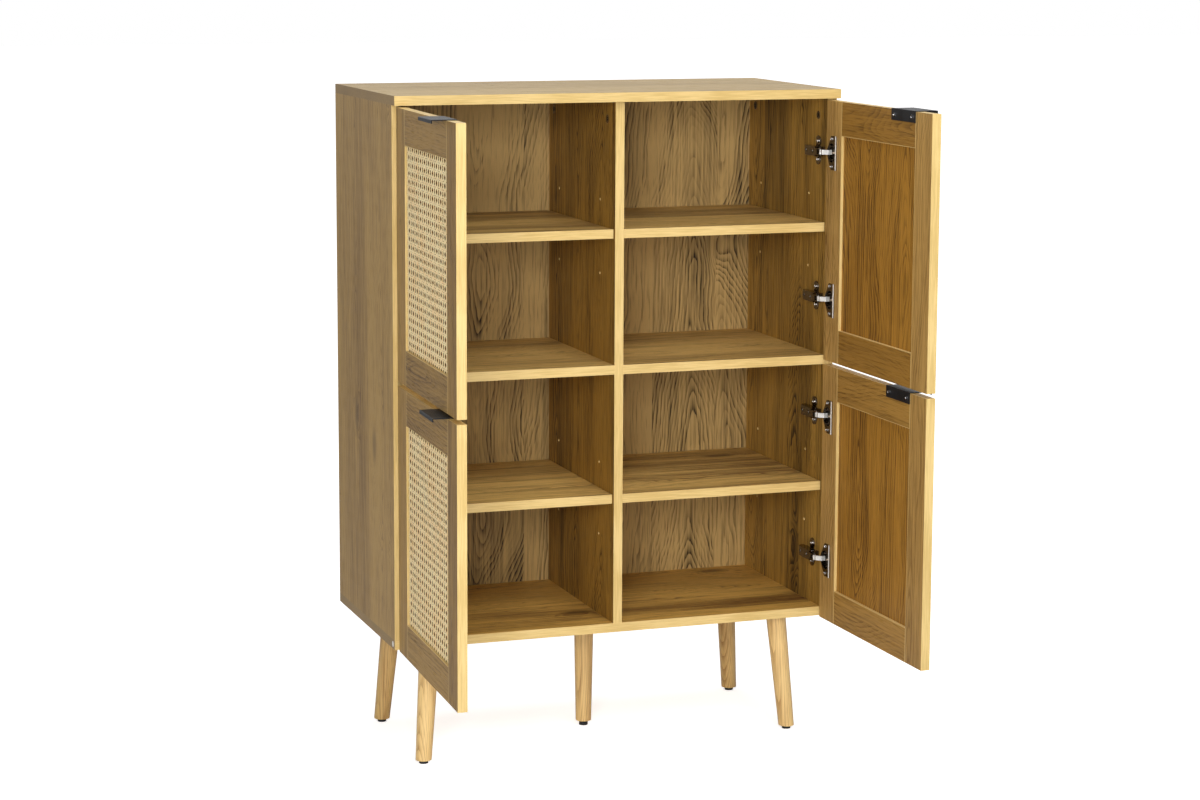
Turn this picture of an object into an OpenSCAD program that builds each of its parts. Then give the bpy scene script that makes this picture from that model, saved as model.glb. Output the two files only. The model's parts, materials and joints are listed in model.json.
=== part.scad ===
// Shoe cabinet: four framed cane doors on concealed hinges, adjustable shelves, splayed wooden legs.
// Origin on the floor under the centre leg. +X right, +Y to the back, +Z up. Millimetres.

/* [Cabinet] */
// Width over the side panels
cabinet_w = 800; // [650:10:1000]
// Depth of the top panel, front to back
cabinet_d = 393; // [320:1:480]
// Height from the floor to the top surface
cabinet_h = 1150; // [950:10:1400]
// Thickness of every panel and shelf
board_t = 16; // [16:0.5:20]
// Depth of the hollow behind the back panels
back_recess = 18; // [8:1:30]
// Thickness of the back panels
back_t = 3; // [3:0.5:5]
// Depth of the grooves that hold the back panels
groove_depth = 5; // [3:0.5:6]
// How far the fixed shelves sit above the middle of the gap between the doors
fixed_shelf_rise = 2.5; // [0:0.5:4]

/* [Adjustable shelves] */
// How far a shelf sits back from the front edge of the side panel
shelf_setback = 5.5; // [3:0.5:20]
// Gap at each end of a shelf
shelf_end_gap = 1; // [0.5:0.5:2]
// Gap between a shelf and the back panel
shelf_back_gap = 1; // [0.5:0.5:10]
// Distance between spare pin holes, centre to centre
pin_pitch = 64; // [32:32:64]
// Diameter of a shelf pin and its hole
pin_d = 5; // [5:0.5:6]
// Depth of a pin hole
pin_hole_depth = 7; // [5:0.5:7.5]
// Front pin column, back from the front edge of the side panel
pin_front_inset = 77; // [70:1:90]
// Rear pin column, forward of the back panel
pin_rear_inset = 57; // [40:1:90]

/* [Doors] */
// Thickness of a door
door_t = 16; // [16:0.5:19]
// Gap between a closed door and the front of the carcass
door_carcass_gap = 2; // [1.8:0.1:3]
// Gap under the top panel
door_top_gap = 3; // [2.5:0.5:5]
// Gap between an upper and a lower door
door_mid_gap = 8; // [6:0.5:12]
// Gap between the left and the right door
door_centre_gap = 3; // [2:0.5:5]
// How far the hinge edge of a closed door sits inside the cabinet's side face
door_side_reveal = 1.5; // [1:0.25:2]
// Width of the two upright stiles
stile_w = 59; // [50:1:75]
// Height of the two rails
rail_h = 59; // [45:1:75]
// Thickness of the board inside the frame
infill_t = 6; // [4:0.5:6]
// Thickness of the woven cane panel
cane_t = 2; // [1.5:0.5:2.5]
// How far the cane lies behind the outer face of the frame
cane_recess = 3; // [2:0.5:5]
// Opening of the left doors as they stand
left_open = 92.3; // [0:0.1:95]
// Opening of the right doors as they stand
right_open = 91; // [0:0.1:95]

/* [Handles] */
// Length of a handle along the door's top edge
handle_l = 86; // [76:1:110]
// Thickness of the handle's sheet metal
handle_t = 1.5; // [1:0.1:1.6]
// Height of the plate screwed to the inner face
handle_plate_h = 18; // [15:1:25]
// How far the handle stands out from the outer face
handle_reach = 24; // [18:1:30]
// Height of the turned-down lip
handle_lip_h = 5; // [3:0.5:8]
// Distance between the two handle screws
handle_screw_pitch = 64; // [32:32:64]
// Diameter of a handle screw
handle_screw_d = 3; // [2.5:0.5:4]

/* [Hinges] */
// Upper hinge centre below the top edge of a door
hinge_top_inset = 90; // [75:1:110]
// Lower hinge centre above the bottom edge of a door
hinge_bottom_inset = 108; // [85:1:120]
// Swing axis, inwards from the cabinet's side face
axis_in = 8.3; // [8:0.1:8.6]
// Swing axis, forward of the front edge of the side panel
axis_out = 15.2; // [15.2:0.1:16]
// Diameter of the hinge cup and its pocket
cup_d = 35; // [35:1:35]
// Depth of the cup's pocket
cup_depth = 11.5; // [11:0.5:12.5]
// Cup centre from the door's hinge edge
cup_inset = 22.5; // [22:0.5:23.5]
// Distance between the two cup screws
cup_screw_pitch = 48; // [45:1:52]
// Mounting plate screws, back from the front edge of the side panel
plate_inset = 37; // [37:1:40]
// Distance between the two mounting plate screws
plate_screw_pitch = 32; // [32:1:32]

/* [Joinery] */
// Diameter of a cam lock
cam_d = 15; // [12:1:15]
// Depth of a cam lock's pocket
cam_depth = 12.5; // [11:0.5:13]
// Cam lock centre below the top panel
cam_drop = 32; // [24:1:40]
// Diameter of a cam bolt's shank
cam_bolt_d = 7; // [6:0.5:8]
// Front cam locks, back from the front edge of the side panel
cam_front_inset = 42; // [34:1:60]
// Rear cam locks, forward of the rear edge of the side panel
cam_rear_inset = 47; // [34:1:60]
// Diameter of a dowel
dowel_d = 8; // [6:1:8]
// Length of a dowel
dowel_l = 30; // [25:5:40]
// Diameter of the plug in each end of the bottom panel
end_plug_d = 10.5; // [8:0.5:12]

/* [Legs] */
// Height from the floor to the underside of the bottom panel
leg_h = 214; // [150:1:260]
// Diameter of a leg at its top
leg_top_d = 36; // [30:1:45]
// Diameter of a leg at its foot
leg_foot_d = 28; // [24:1:36]
// Corner leg centres at the foot, left to right from the middle
leg_foot_x = 339; // [270:1:360]
// Corner leg centres at the foot, front to back from the middle
leg_foot_y = 137.5; // [110:0.5:170]
// How far a corner leg leans outwards along each of X and Y
leg_splay = 17; // [0:1:30]
// Width of a square leg plate
leg_plate_w = 56; // [52:1:70]
// Thickness of a leg plate
leg_plate_t = 2; // [1.5:0.5:3]
// Diameter of a leg's bolt
leg_bolt_d = 8; // [6:1:10]
// Diameter of a levelling foot
foot_d = 16; // [14:1:22]
// Height of a corner foot
foot_h = 6; // [4:1:12]
// How far the centre foot is screwed out
centre_foot_out = 3; // [1:0.5:6]
// Diameter of a levelling foot's stem
stem_d = 6; // [5:0.5:8]
// How far a levelling foot can be screwed out
foot_travel = 8; // [4:1:12]

/* [Hidden] */
$fn = 48;
// How far a cut runs past the face that it opens
beyond = 1;

// Colours
oak = "#b08a55";
oak_light = "#d9b878";
oak_solid = "#c08a4e";
cane_straw = "#d8c59a";
metal = "#c9cccf";
black_metal = "#1c1c1e";
clear_nickel = "#b9bcc0";

// Carcass
overhang = door_t + door_carcass_gap;
top_front = -cabinet_d / 2;
rear = cabinet_d / 2;
front = top_front + overhang;
side_x = cabinet_w / 2;
inner_x = side_x - board_t;
floor_z = leg_h + board_t;
ceiling_z = cabinet_h - board_t;
back_face = rear - back_recess - back_t;
groove_play = 0.5;
edge_join = board_t / 2;
upright_xs = [-inner_x - edge_join, 0, inner_x + edge_join];

// Doors
door_w = side_x - door_side_reveal - door_centre_gap / 2;
door_h = (ceiling_z - door_top_gap - door_mid_gap - leg_h) / 2;
lower_door_z = leg_h;
upper_door_z = leg_h + door_h + door_mid_gap;
frame_joint = 0.1;
cane_out = door_t - cane_recess;
cane_in = cane_out - cane_t;
board_in = cane_in - infill_t;
cup_screw_l = 12;
cup_screw_head_d = 6;
cup_screw_head_t = 1.5;
handle_end = door_w - stile_w;
handle_mid = handle_end - handle_l / 2;
handle_screw_drop = handle_plate_h / 2;
handle_screw_l = 12;
handle_screw_head_d = 2 * handle_screw_d;
handle_bead_d = 1.4 * handle_t;

// Shelves
fixed_shelf_z = leg_h + door_h + door_mid_gap / 2 + fixed_shelf_rise;
fixed_shelf_low = fixed_shelf_z - board_t / 2;
fixed_shelf_high = fixed_shelf_z + board_t / 2;
upper_shelf_low = (fixed_shelf_high + ceiling_z) / 2 - board_t / 2;
lower_shelf_low = (floor_z + fixed_shelf_low) / 2 - board_t / 2;
divider_face = board_t / 2;
pin_under = 0.3;
pin_head_d = pin_d + 3;
pin_head_t = 1;
pin_reach = 8;
pin_columns = [front + pin_front_inset, back_face - pin_rear_inset];
pin_levels = [upper_shelf_low - pin_under - pin_d / 2, lower_shelf_low - pin_under - pin_d / 2];

// Hinges, in a section through one hinge: u inwards from the cabinet's side face, v forward of the
// side panel's front edge
hinge_zs_in_door = [hinge_bottom_inset, door_h - hinge_top_inset];
cup_wall = 1.25;
cup_floor = 1;
cup_lip_t = 1.2;
cup_lip_d = cup_d + 2;
flange_tab_d = 11;
flange_bar_t = 1.6;
flange_bar_proud = 3;
flange_near_x = 16;
flange_near_h = 18;
cup_screw_d = 3.5;
screw_head_t = 1.8;
cross_slot_w = 0.8;
link_half_w = 4;
link_t = 2.4;
link_knuckle = 0.3;
link_pin_d = 2.4;
link_pin_play = 0.06;
link_pivot = [board_t + 16, 6];
link_knee = [board_t + 11, 10.5];
link_elbow = [door_side_reveal + 15.5, 10.2];
link_eye = [door_side_reveal + 11, door_carcass_gap + 4];
link_ratio = 0.468;
link_lug_d = 5;
link_cheek_gap = 0.3;
plate_wing_h = 51;
plate_wing_w = 20;
plate_neck_w = 16;
plate_wing_t = 2;
plate_body_w = 13;
plate_body_t = 6;
plate_body_back = 62;
plate_body_front = 10;
plate_screw_d = 4;
plate_screw_head_d = 7;
plate_screw_l = 12;
arm_w = 17;
arm_wall = 1.5;
arm_top = 18.5;
arm_roof_t = 7;
arm_back = 64;
arm_shoulder = 12;
arm_front = 3;
arm_heel = [6, 8];
arm_toe = [3, 1];
arm_nose_root = 9;
arm_slot_back = 5;
arm_plate_gap = 0.3;
arm_screw_d = 6;
arm_screw_recess = 1;
arm_screws = [-arm_back + 12, -24];

// Joinery
cam_columns = [front + cam_front_inset, rear - cam_rear_inset];
cam_bolt_thread_d = 5;
cam_bolt_thread_l = 11;
cam_slot_w = 2;
cam_slot_l = 10;
cam_slot_depth = 2;
dowel_offset = 32;
dowel_in_panel = 10;
dowel_columns = [cam_columns[0] + dowel_offset, cam_columns[1] - dowel_offset];
shelf_dowel_inset = 60;
shelf_dowel_columns = [front + shelf_dowel_inset, back_face - shelf_dowel_inset];
base_screw_d = 5;
base_screw_l = 45;
base_screw_head_d = 9;
base_screw_head_t = 3;
end_plug_inset = 12.5;
end_plug_depth = 8;

// Legs
leg_top_z = leg_h - leg_plate_t;
centre_leg_low = foot_h + centre_foot_out;
leg_lean = sqrt(2) * leg_splay;
leg_rise = leg_h - foot_h;
leg_angle = atan2(leg_lean, leg_rise);
leg_bolt_in_leg = 35;
leg_bolt_in_base = 9;
leg_bolt_play = 0.5;
leg_bolt_room = 1;
leg_screw_d = 4;
leg_screw_l = 12;
leg_screw_head_d = 7.5;
leg_screw_head_t = 2;
leg_screw_margin = 7;
stem_play = 0.4;
stem_engaged = 16;
stem_l = foot_travel + stem_engaged;
stem_room = 4;
stem_well = stem_l + stem_room;
corner_signs = [[-1, -1], [1, -1], [-1, 1], [1, 1]];

// ---------- helpers ----------

// A box from its low corner to its high corner
module block(low, high) {
    translate(low) cube(high - low);
}

// A vertical cylinder
module post(x, y, z, d, h) {
    translate([x, y, z]) cylinder(d = d, h = h);
}

// A cylinder along +X from x, or along -X when h is negative
module bar_x(x, y, z, d, h) {
    translate([min(x, x + h), y, z]) rotate([0, 90, 0]) cylinder(d = d, h = abs(h));
}

// Pin holes in the inner face at x, drilled along dir
module pin_holes(x, dir) {
    for (y = pin_columns, level = pin_levels, k = [-1, 0, 1])
        bar_x(x, y, level + k * pin_pitch, pin_d, dir * pin_hole_depth);
}

// Pockets for the cam locks in the inner face at x, with the bores for their bolts at bolt_x
module cam_pockets(x, dir, bolt_x) {
    for (y = cam_columns) {
        bar_x(x, y, ceiling_z - cam_drop, cam_d, dir * cam_depth);
        post(bolt_x, y, ceiling_z - cam_drop, cam_bolt_d, cam_drop);
    }
}

// Dowels that stand in the joint between an upright panel at x and the top and bottom panels
module upright_dowels(x) {
    for (y = dowel_columns) {
        post(x, y, ceiling_z + dowel_in_panel - dowel_l, dowel_d, dowel_l);
        post(x, y, floor_z - dowel_in_panel, dowel_d, dowel_l);
    }
}

// Dowels that hold the fixed shelves: one in each side panel, one through the divider
module shelf_dowels() {
    for (y = shelf_dowel_columns) {
        for (s = [-1, 1])
            bar_x(s * (inner_x + dowel_in_panel), y, fixed_shelf_z, dowel_d, -s * dowel_l);
        bar_x(-divider_face - dowel_l / 2, y, fixed_shelf_z, dowel_d, board_t + dowel_l);
    }
}

// One screw from below that holds the bottom panel to an upright panel
module base_screw(x, y) {
    post(x, y, leg_h, base_screw_head_d, base_screw_head_t);
    post(x, y, leg_h + base_screw_head_t, base_screw_d, base_screw_l - base_screw_head_t);
}

// The screws under one upright panel
module base_screw_pair(x) {
    for (y = cam_columns) base_screw(x, y);
}

// Puts its children at the top of each leg, upright or leaning as that leg does
module at_leg_tops() {
    for (s = corner_signs)
        translate([s[0] * leg_foot_x, s[1] * leg_foot_y, foot_h])
            rotate([0, -leg_angle, atan2(s[1], s[0])])
                translate([0, 0, sqrt(leg_lean * leg_lean + leg_rise * leg_rise)]) children();
    translate([0, 0, leg_h]) children();
}

// Leg top centres, under the bottom panel
leg_tops = concat(
    [for (s = corner_signs) [s[0] * (leg_foot_x - leg_splay), s[1] * (leg_foot_y - leg_splay)]],
    [[0, 0]]
);

// The bolt that joins a leg to its plate, d across, reaching beyond the underside by up
module leg_bolt_shape(d, down, up) {
    at_leg_tops() translate([0, 0, -down]) cylinder(d = d, h = down + up);
}

// Screw places on the leg plates
function plate_corner(c, s) = [for (i = [0, 1]) c[i] + s[i] * (leg_plate_w / 2 - leg_screw_margin)];

// Screws through the leg plates, z0 to z1
module leg_screw_shape(d, z0, z1) {
    for (c = leg_tops, s = corner_signs) {
        p = plate_corner(c, s);
        post(p[0], p[1], z0, d, z1 - z0);
    }
}

// ---------- carcass ----------

// Grooves for the back panels, cut groove_depth into the panels around each bay
module back_grooves() {
    for (s = [-1, 1])
        block([min(s * (divider_face - groove_depth), s * (inner_x + groove_depth)),
               back_face, floor_z - groove_depth],
              [max(s * (divider_face - groove_depth), s * (inner_x + groove_depth)),
               back_face + back_t, ceiling_z + groove_depth]);
}

module top_panel() {
    color(oak) difference() {
        block([-side_x, top_front, ceiling_z], [side_x, rear, cabinet_h]);
        back_grooves();
        for (x = upright_xs) {
            upright_dowels(x);
            for (y = cam_columns) post(x, y, ceiling_z, cam_bolt_thread_d, cam_bolt_thread_l);
        }
    }
}

module bottom_panel() {
    color(oak) difference() {
        block([-side_x, front, leg_h], [side_x, rear, floor_z]);
        back_grooves();
        for (x = upright_xs) {
            upright_dowels(x);
            base_screw_pair(x);
        }
        leg_bolt_shape(leg_bolt_d + 2 * leg_bolt_play, leg_bolt_in_leg, leg_bolt_in_base + leg_bolt_room);
        leg_screw_shape(leg_screw_d, leg_h, leg_h + leg_screw_l - leg_plate_t);
        for (s = [-1, 1]) end_plug_shape(s);
    }
}

module side_panel(s) {
    color(oak) difference() {
        block([min(s * inner_x, s * side_x), front, floor_z],
              [max(s * inner_x, s * side_x), rear, ceiling_z]);
        back_grooves();
        pin_holes(s * inner_x, s);
        cam_pockets(s * inner_x, s, s * (inner_x + edge_join));
        upright_dowels(s * (inner_x + edge_join));
        base_screw_pair(s * (inner_x + edge_join));
        shelf_dowels();
        for (z = hinge_zs()) plate_screws_at(s, z);
    }
}

module left_side_panel() side_panel(-1);
module right_side_panel() side_panel(1);

module centre_divider() {
    color(oak) difference() {
        block([-divider_face, front, floor_z], [divider_face, rear, ceiling_z]);
        back_grooves();
        for (s = [-1, 1]) pin_holes(s * divider_face, -s);
        cam_pockets(-divider_face, 1, 0);
        upright_dowels(0);
        base_screw_pair(0);
        shelf_dowels();
    }
}

module back_panels() {
    edge = groove_depth - groove_play;
    color(oak) for (s = [-1, 1])
        block([min(s * (divider_face - edge), s * (inner_x + edge)), back_face, floor_z - edge],
              [max(s * (divider_face - edge), s * (inner_x + edge)), back_face + back_t, ceiling_z + edge]);
}

module fixed_shelf(s) {
    color(oak) difference() {
        block([min(s * divider_face, s * inner_x), front, fixed_shelf_low],
              [max(s * divider_face, s * inner_x), back_face, fixed_shelf_high]);
        shelf_dowels();
    }
}

module left_fixed_shelf() fixed_shelf(-1);
module right_fixed_shelf() fixed_shelf(1);

module adjustable_shelf(s, low) {
    a = s * (divider_face + shelf_end_gap);
    b = s * (inner_x - shelf_end_gap);
    color(oak) block([min(a, b), front + shelf_setback, low],
                     [max(a, b), back_face - shelf_back_gap, low + board_t]);
}

module upper_left_shelf() adjustable_shelf(-1, upper_shelf_low);
module upper_right_shelf() adjustable_shelf(1, upper_shelf_low);
module lower_left_shelf() adjustable_shelf(-1, lower_shelf_low);
module lower_right_shelf() adjustable_shelf(1, lower_shelf_low);

// One pin in the face at x: a shank in the hole, a collar on the face and a peg under the shelf
module shelf_pin(x, dir, y, z) {
    bar_x(x, y, z, pin_d, -dir * pin_hole_depth);
    bar_x(x, y, z, pin_d, dir * pin_reach);
    difference() {
        bar_x(x, y, z, pin_head_d, dir * pin_head_t);
        block([x - pin_reach, y - pin_head_d, z + pin_d / 2],
              [x + pin_reach, y + pin_head_d, z + pin_head_d]);
    }
}

module shelf_pins() {
    color(clear_nickel) for (s = [-1, 1], y = pin_columns, z = pin_levels) {
        shelf_pin(s * inner_x, -s, y, z);
        shelf_pin(s * divider_face, s, y, z);
    }
}

// One cam lock flush in the face at x, its bolt bore open towards the top
module cam_lock(x, dir, bolt_x, y) {
    z = ceiling_z - cam_drop;
    difference() {
        bar_x(x, y, z, cam_d, dir * cam_depth);
        post(bolt_x, y, z, cam_bolt_d, cam_d);
        for (a = [45, 135])
            translate([x, y, z]) rotate([a, 0, 0])
                cube([2 * cam_slot_depth, cam_slot_l, cam_slot_w], center = true);
    }
}

module cam_locks() {
    color(metal) for (y = cam_columns) {
        for (s = [-1, 1]) cam_lock(s * inner_x, s, s * (inner_x + edge_join), y);
        cam_lock(-divider_face, 1, 0, y);
    }
}

module cam_bolts() {
    color(metal) for (x = upright_xs, y = cam_columns) {
        post(x, y, ceiling_z - cam_drop, cam_bolt_d, cam_drop);
        post(x, y, ceiling_z, cam_bolt_thread_d, cam_bolt_thread_l);
    }
}

module dowels() {
    color(oak_light) {
        for (x = upright_xs) upright_dowels(x);
        shelf_dowels();
    }
}

module base_screws() {
    color(metal) for (x = upright_xs) base_screw_pair(x);
}

module end_plug_shape(s) {
    bar_x(s * side_x, front + end_plug_inset, leg_h + board_t / 2, end_plug_d, -s * end_plug_depth);
}

module end_plugs() {
    color(metal) for (s = [-1, 1]) end_plug_shape(s);
}

// ---------- hinges on the carcass ----------

// Heights of all hinges on one side panel
function hinge_zs() = [for (z0 = [lower_door_z, upper_door_z], h = hinge_zs_in_door) z0 + h];

// Places its children in a hinge's section: +X is u, +Y is v, +Z is along the hinge axis
module hinge_section(s, z) {
    translate([s * side_x, front, z]) mirror([s > 0 ? 1 : 0, 0, 0]) mirror([0, 1, 0]) children();
}

// The two screws of one mounting plate: shanks in the side panel and through the plate
module plate_screws_at(s, z) {
    hinge_section(s, z) for (k = [-1, 1])
        translate([board_t - plate_screw_l + plate_wing_t, -plate_inset, k * plate_screw_pitch / 2])
            rotate([0, 90, 0]) cylinder(d = plate_screw_d, h = plate_screw_l);
}

module hinge_plate_screws() {
    color(metal) for (s = [-1, 1], z = hinge_zs()) {
        plate_screws_at(s, z);
        hinge_section(s, z) for (k = [-1, 1])
            translate([board_t + plate_wing_t, -plate_inset, k * plate_screw_pitch / 2])
                rotate([0, 90, 0]) cross_head(plate_screw_head_d, screw_head_t);
    }
}

// A screw head with a cross recess, rising along +Z
module cross_head(d, h) {
    difference() {
        cylinder(d = d, h = h);
        for (a = [0, 90])
            rotate([0, 0, a]) translate([-d / 3, -cross_slot_w / 2, h / 2])
                cube([2 * d / 3, cross_slot_w, h]);
    }
}

module hinge_plate() {
    difference() {
        union() {
            translate([board_t, -plate_inset, 0]) rotate([0, 90, 0]) linear_extrude(plate_wing_t)
                union() {
                    square([plate_screw_pitch, plate_neck_w], center = true);
                    for (k = [-1, 1])
                        translate([k * (plate_wing_h - plate_wing_w) / 2, 0]) circle(d = plate_wing_w);
                }
            block([board_t, -plate_body_back, -plate_body_w / 2],
                  [board_t + plate_body_t, -plate_body_front, plate_body_w / 2]);
        }
        for (k = [-1, 1])
            translate([board_t - beyond, -plate_inset, k * plate_screw_pitch / 2])
                rotate([0, 90, 0]) cylinder(d = plate_screw_d, h = plate_wing_t + 2 * beyond);
    }
}

module hinge_plates() {
    color(metal) for (s = [-1, 1], z = hinge_zs()) hinge_section(s, z) hinge_plate();
}

// Side view of the arm: flat along its top, sloping down behind and in front
module arm_outline() {
    low = board_t + plate_body_t + arm_plate_gap;
    high = board_t + arm_top;
    polygon([
        [low, -arm_back], [high - arm_heel[0], -arm_back], [high, -arm_back + arm_heel[1]],
        [high, -arm_shoulder], [high - arm_toe[0], -arm_front], [low + arm_toe[1], -arm_front],
        [low, -plate_body_front]
    ]);
}

// The nose that carries the pivot, round at its tip
module arm_nose_outline() {
    r = link_lug_d / 2;
    translate(link_pivot) circle(r = r);
    polygon([
        [link_pivot[0] - r, link_pivot[1]], [link_pivot[0] + r, link_pivot[1]],
        [board_t + arm_top, -arm_shoulder], [board_t + arm_top - arm_nose_root, -arm_shoulder]
    ]);
}

module hinge_arm() {
    cheek_in = link_half_w + link_cheek_gap;
    cheek_out = cheek_in + arm_wall;
    plate_top = board_t + plate_body_t + arm_plate_gap;
    difference() {
        union() {
            linear_extrude(arm_w, center = true) arm_outline();
            linear_extrude(2 * cheek_out, center = true) arm_nose_outline();
        }
        // hollow under the arm, which sits astride the plate
        block([plate_top - beyond, -arm_back - beyond, -arm_w / 2 + arm_wall],
              [board_t + arm_top - arm_roof_t, -arm_shoulder, arm_w / 2 - arm_wall]);
        // slot in the nose that the link swings in
        block([board_t, -arm_slot_back, -cheek_in],
              [board_t + 2 * arm_top, link_pivot[1] + link_lug_d, cheek_in]);
        for (v = arm_screws)
            translate([board_t + arm_top - arm_screw_recess, v, 0])
                rotate([0, 90, 0]) cylinder(d = arm_screw_d, h = arm_screw_recess + beyond);
    }
    for (v = arm_screws)
        translate([board_t + arm_top - arm_screw_recess, v, 0])
            rotate([0, 90, 0]) cross_head(arm_screw_d, screw_head_t);
    // pivot pin between the two cheeks
    translate([link_pivot[0], link_pivot[1], 0]) cylinder(d = link_pin_d, h = 2 * cheek_in, center = true);
}

module hinge_arms() {
    color(metal) for (s = [-1, 1], z = hinge_zs()) hinge_section(s, z) hinge_arm();
}

// ---------- hinge links ----------

// The swinging link, drawn as it lies with the door closed
module link_shape() {
    difference() {
        linear_extrude(2 * link_half_w, center = true) union() {
            translate(link_pivot) circle(d = link_lug_d);
            limb(link_pivot, link_knee, link_t);
            limb(link_knee, link_elbow, link_t);
            limb(link_elbow, link_eye, link_t);
        }
        translate([link_pivot[0], link_pivot[1], 0])
            cylinder(d = link_pin_d + 2 * link_pin_play, h = 4 * link_half_w, center = true);
    }
}

// A limb t thick from a to b, with a slightly wider round end at b
module limb(a, b, t) {
    d = b - a;
    translate(a) rotate([0, 0, atan2(d[1], d[0])]) translate([0, -t / 2]) square([norm(d), t]);
    translate(b) circle(d = t + link_knuckle);
}

module hinge_links(s, door_z, opening) {
    color(metal) for (h = hinge_zs_in_door)
        hinge_section(s, door_z + h)
            translate(link_pivot) rotate([0, 0, -link_ratio * opening]) translate(-link_pivot)
                link_shape();
}

module upper_left_hinge_links() hinge_links(-1, upper_door_z, left_open);
module upper_right_hinge_links() hinge_links(1, upper_door_z, right_open);
module lower_left_hinge_links() hinge_links(-1, lower_door_z, left_open);
module lower_right_hinge_links() hinge_links(1, lower_door_z, right_open);

// ---------- doors ----------

// Turns children drawn in the hinge section (a door drawn closed) to the opening that the doors stand at
module swung(s, door_z, opening) {
    hinge_section(s, door_z)
        translate([axis_in, axis_out, 0]) rotate([0, 0, opening]) translate([-axis_in, -axis_out, 0])
            translate([door_side_reveal, door_carcass_gap, 0]) children();
}

// Door coordinates: +X along the door from its hinge edge, +Y out from its inner face, +Z up

module cup_pockets() {
    for (h = hinge_zs_in_door)
        translate([cup_inset, 0, h]) rotate([-90, 0, 0]) cylinder(d = cup_d, h = cup_depth);
}

module cup_screw_shanks(reach) {
    for (h = hinge_zs_in_door, k = [-1, 1])
        translate([cup_inset, -cup_lip_t, h + k * cup_screw_pitch / 2])
            rotate([-90, 0, 0]) cylinder(d = cup_screw_d, h = reach);
}

module handle_screw_shanks() {
    for (k = [-1, 1])
        translate([handle_mid + k * handle_screw_pitch / 2, -handle_t, door_h - handle_screw_drop])
            rotate([-90, 0, 0]) cylinder(d = handle_screw_d, h = handle_screw_l);
}

module door_frame() {
    difference() {
        union() {
            for (x = [0, door_w - stile_w]) block([x, 0, 0], [x + stile_w, door_t, door_h]);
            for (z = [0, door_h - rail_h])
                block([stile_w + frame_joint, 0, z], [door_w - stile_w - frame_joint, door_t, z + rail_h]);
        }
        cup_pockets();
        cup_screw_shanks(cup_screw_l);
        handle_screw_shanks();
    }
}

module door_board() {
    block([stile_w, board_in, rail_h], [door_w - stile_w, cane_in, door_h - rail_h]);
}

module door_cane() {
    block([stile_w, cane_in, rail_h], [door_w - stile_w, cane_out, door_h - rail_h]);
}

// The handle: plate on the inner face, sheet over the top edge, rounded lip turned down outside
module door_handle() {
    lip_x = door_t + handle_reach - handle_t;
    difference() {
        translate([handle_end - handle_l, 0, door_h]) rotate([90, 0, 90])
            linear_extrude(handle_l) {
                translate([-handle_t, -handle_plate_h]) square([handle_t, handle_plate_h + handle_t]);
                square([lip_x, handle_t]);
                intersection() {
                    translate([lip_x, 0]) circle(r = handle_t);
                    translate([lip_x, 0]) square(handle_t);
                }
                translate([lip_x, -handle_lip_h + handle_t]) square([handle_t, handle_lip_h - handle_t]);
                translate([lip_x + handle_t / 2, -handle_lip_h + handle_t]) circle(d = handle_bead_d);
            }
        handle_screw_shanks();
    }
}

// The flange widens from the link side to a tall bar folded up along its far edge.
module flange_outline() {
    circle(d = cup_lip_d);
    hull() {
        for (k = [-1, 1]) translate([0, k * cup_screw_pitch / 2]) circle(d = flange_tab_d);
        translate([-flange_near_x, -flange_near_h / 2]) square([1, flange_near_h]);
        flange_bar_foot();
    }
}

module flange_bar_foot() {
    bar_h = cup_screw_pitch + flange_tab_d;
    translate([cup_lip_d / 2 - flange_bar_t, -bar_h / 2]) square([flange_bar_t, bar_h]);
}

module hinge_cup() {
    difference() {
        union() {
            cylinder(d = cup_d, h = cup_depth);
            translate([0, 0, -cup_lip_t]) linear_extrude(cup_lip_t) flange_outline();
            translate([0, 0, -flange_bar_proud]) linear_extrude(flange_bar_proud) flange_bar_foot();
        }
        translate([0, 0, -2 * cup_lip_t])
            cylinder(d = cup_d - 2 * cup_wall, h = cup_depth - cup_floor + 2 * cup_lip_t);
        for (k = [-1, 1])
            translate([0, k * cup_screw_pitch / 2, -2 * cup_lip_t])
                cylinder(d = cup_screw_d, h = 4 * cup_lip_t);
    }
}

module hinge_cups() {
    for (h = hinge_zs_in_door)
        translate([cup_inset, 0, h]) rotate([-90, 0, 0]) hinge_cup();
}

module door_screws() {
    cup_screw_shanks(cup_screw_l);
    for (h = hinge_zs_in_door, k = [-1, 1])
        translate([cup_inset, -cup_lip_t, h + k * cup_screw_pitch / 2])
            rotate([90, 0, 0]) cross_head(cup_screw_head_d, cup_screw_head_t);
    handle_screw_shanks();
    for (k = [-1, 1])
        translate([handle_mid + k * handle_screw_pitch / 2, -handle_t, door_h - handle_screw_drop])
            rotate([90, 0, 0]) cross_head(handle_screw_head_d, screw_head_t);
}

module upper_left_door_frame() color(oak) swung(-1, upper_door_z, left_open) door_frame();
module upper_left_door_board() color(oak) swung(-1, upper_door_z, left_open) door_board();
module upper_left_cane() color(cane_straw) swung(-1, upper_door_z, left_open) door_cane();
module upper_left_handle() color(black_metal) swung(-1, upper_door_z, left_open) door_handle();
module upper_left_hinge_cups() color(metal) swung(-1, upper_door_z, left_open) hinge_cups();
module upper_left_door_screws() color(metal) swung(-1, upper_door_z, left_open) door_screws();

module upper_right_door_frame() color(oak) swung(1, upper_door_z, right_open) door_frame();
module upper_right_door_board() color(oak) swung(1, upper_door_z, right_open) door_board();
module upper_right_cane() color(cane_straw) swung(1, upper_door_z, right_open) door_cane();
module upper_right_handle() color(black_metal) swung(1, upper_door_z, right_open) door_handle();
module upper_right_hinge_cups() color(metal) swung(1, upper_door_z, right_open) hinge_cups();
module upper_right_door_screws() color(metal) swung(1, upper_door_z, right_open) door_screws();

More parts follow.
